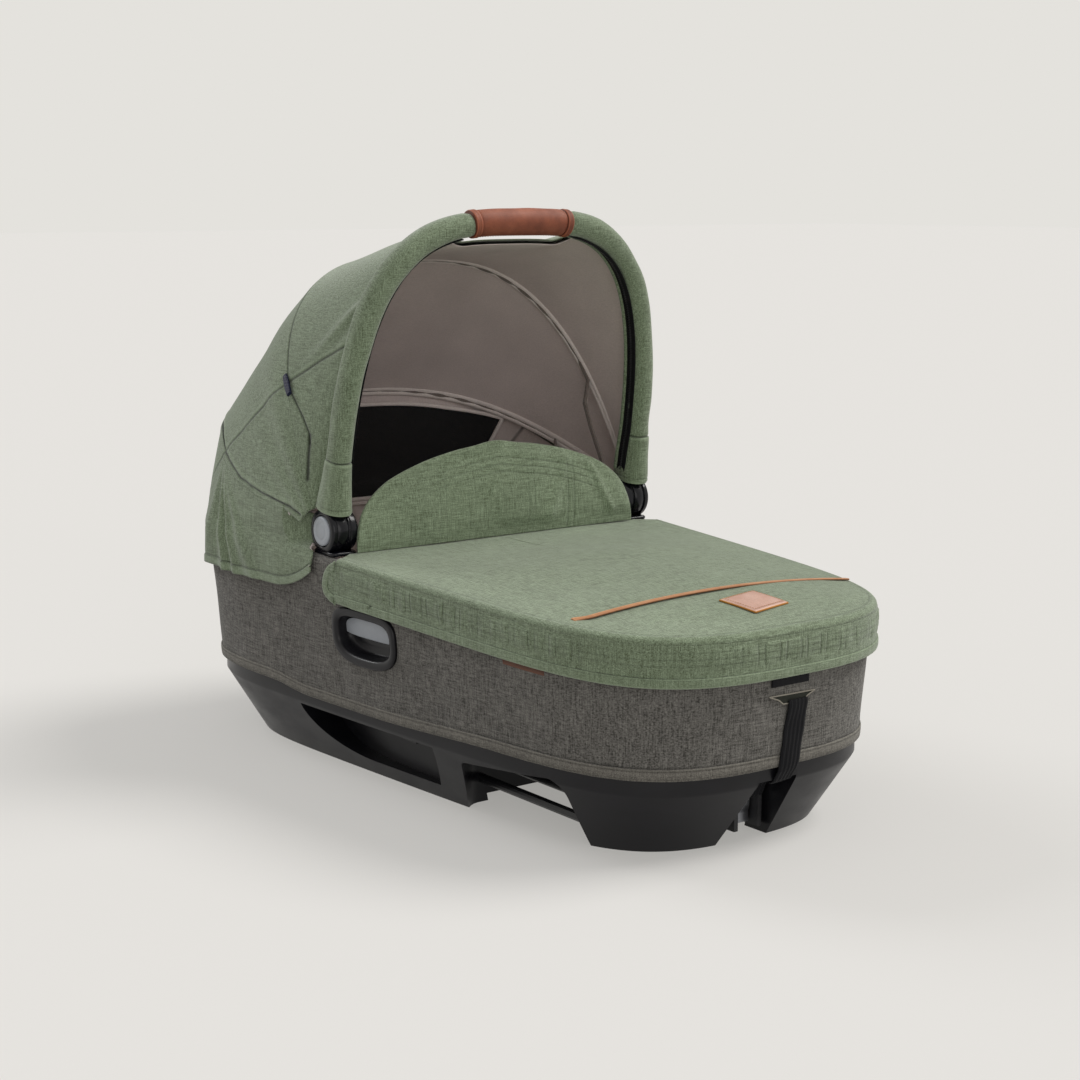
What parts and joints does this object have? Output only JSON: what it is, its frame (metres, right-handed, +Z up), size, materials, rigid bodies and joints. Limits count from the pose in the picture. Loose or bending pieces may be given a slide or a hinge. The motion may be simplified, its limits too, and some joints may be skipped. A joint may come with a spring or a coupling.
{
  "type": "carrycot",
  "caption": "Pushchair carrycot with a folding fabric hood on a bow that is also the handle, a buttoned boot cover with a wind flap, and a moulded docking base.",
  "frame": {"origin": "on the ground under the middle of the whole carrycot's bounding box", "axes": "+X to the foot end, +Y to the side that faces away in the picture, +Z up"},
  "size_m": [0.85, 0.4782, 0.6096],
  "materials": {
    "green_fabric": "woven melange, matt",
    "grey_fabric": "woven grey-brown melange, matt",
    "taupe_lining": "smooth padded lining",
    "mattress_cover": "soft jersey",
    "black_mesh": "open knitted mesh",
    "black_webbing": "flat woven webbing",
    "navy_tag": "folded woven tag, plain",
    "pale_stitch": "stitched edge",
    "black_plastic": "satin moulded",
    "hidden_plastic": "plain moulded",
    "light_grey_plastic": "satin moulded",
    "brown_leather": "cognac, fine grain",
    "tan_leather": "tan, fine grain",
    "aluminium": "drawn",
    "dark_steel": "black, satin",
    "bright_steel": "zinc plated"
  },
  "bodies": {
    "cot": {"base_shell": "black_plastic", "dock_rod_left": "dark_steel", "dock_rod_right": "dark_steel", "brace_rod_left": "dark_steel", "brace_rod_right": "dark_steel", "lock_housing": "hidden_plastic", "lock_pin": "bright_steel", "base_screw_1": "bright_steel", "base_screw_2": "bright_steel", "base_screw_3": "bright_steel", "base_screw_4": "bright_steel", "body_tub": "hidden_plastic", "outer_cover": "grey_fabric", "cover_hem_binding": "grey_fabric", "rim_frame": "aluminium", "inner_liner": "taupe_lining", "mattress": "mattress_cover", "hub_bracket_left": "black_plastic", "hub_bracket_right": "black_plastic", "pivot_pin_left": "bright_steel", "pivot_pin_right": "bright_steel", "hood_rib_lower": "hidden_plastic", "hood_skirt": "green_fabric", "window_mesh": "black_mesh", "adapter_housing_left": "black_plastic", "adapter_housing_right": "black_plastic", "apron_cover": "green_fabric", "apron_binding": "green_fabric", "apron_trim": "tan_leather", "apron_badge": "tan_leather", "side_label": "brown_leather", "strap_slot_patch": "pale_stitch", "release_strap": "black_webbing", "apron_fastener": "black_webbing"},
    "rib": {"hood_rib_upper": "hidden_plastic", "canopy_middle": "green_fabric", "hood_tag": "navy_tag"},
    "bow": {"bow_tube": "aluminium", "bow_sleeve_left": "green_fabric", "bow_sleeve_right": "green_fabric", "bow_zip_left": "black_webbing", "bow_zip_right": "black_webbing", "handle_grip": "brown_leather", "grip_band_left": "brown_leather", "grip_band_right": "brown_leather", "bow_socket_left": "black_plastic", "bow_socket_right": "black_plastic", "button_spring_left": "bright_steel", "button_spring_right": "bright_steel", "canopy_front": "green_fabric"},
    "button_left": {"pivot_button_left": "light_grey_plastic"},
    "button_right": {"pivot_button_right": "light_grey_plastic"},
    "lever_left": {"release_lever_left": "light_grey_plastic"},
    "lever_right": {"release_lever_right": "light_grey_plastic"},
    "latch_left": {"frame_latch_left": "hidden_plastic"},
    "latch_right": {"frame_latch_right": "hidden_plastic"},
    "hook": {"lock_hook": "bright_steel"},
    "flap": {"wind_flap": "green_fabric"}
  },
  "joints": [
    {"name": "hood_fold", "type": "hinge", "parent": "cot", "child": "rib", "pos_m": [-0.08, 0, 0.268], "axis": [0, -1, 0], "range_deg": [0, 37], "deforming": ["canopy_middle"]},
    {"name": "bow_fold", "type": "hinge", "parent": "rib", "child": "bow", "pos_m": [-0.08, 0, 0.268], "axis": [0, -1, 0], "range_deg": [0, 30.6], "deforming": ["canopy_front"]},
    {"name": "button_press_left", "type": "slide", "parent": "bow", "child": "button_left", "axis": [0, 1, 0], "range_m": [0, 0.004], "stiffness_N_per_m": 700, "springref_m": -0.002, "deforming": ["button_spring_left"]},
    {"name": "button_press_right", "type": "slide", "parent": "bow", "child": "button_right", "axis": [0, -1, 0], "range_m": [0, 0.004], "stiffness_N_per_m": 700, "springref_m": -0.002, "deforming": ["button_spring_right"]},
    {"name": "lever_pull_left", "type": "slide", "parent": "cot", "child": "lever_left", "axis": [0, -0.0708, 0.9975], "range_m": [0, 0.006], "stiffness_N_per_m": 700, "springref_m": -0.003},
    {"name": "lever_pull_right", "type": "slide", "parent": "cot", "child": "lever_right", "axis": [0, 0.0708, 0.9975], "range_m": [0, 0.006], "stiffness_N_per_m": 700, "springref_m": -0.003},
    {"name": "latch_draw_left", "type": "slide", "parent": "cot", "child": "latch_left", "axis": [0, 1, 0], "range_m": [0, 0.0071]},
    {"name": "latch_draw_right", "type": "slide", "parent": "cot", "child": "latch_right", "axis": [0, -1, 0], "range_m": [0, 0.0071]},
    {"name": "hook_swing", "type": "hinge", "parent": "cot", "child": "hook", "pos_m": [0.3448, 0, 0.042], "axis": [0, -1, 0], "range_deg": [0, 20], "stiffness_Nm_per_rad": 0.5, "springref_deg": -5.73},
    {"name": "flap_fold", "type": "hinge", "parent": "cot", "child": "flap", "pos_m": [-0.0545, 0, 0.2448], "axis": [0, 1, 0], "range_deg": [0, 85]}
  ],
  "couplings": [
    {"joint": "bow_fold", "follows": "hood_fold", "ratio": 0.827},
    {"joint": "latch_draw_left", "follows": "lever_pull_left", "ratio": 1.1667},
    {"joint": "latch_draw_right", "follows": "lever_pull_right", "ratio": 1.1667}
  ]
}
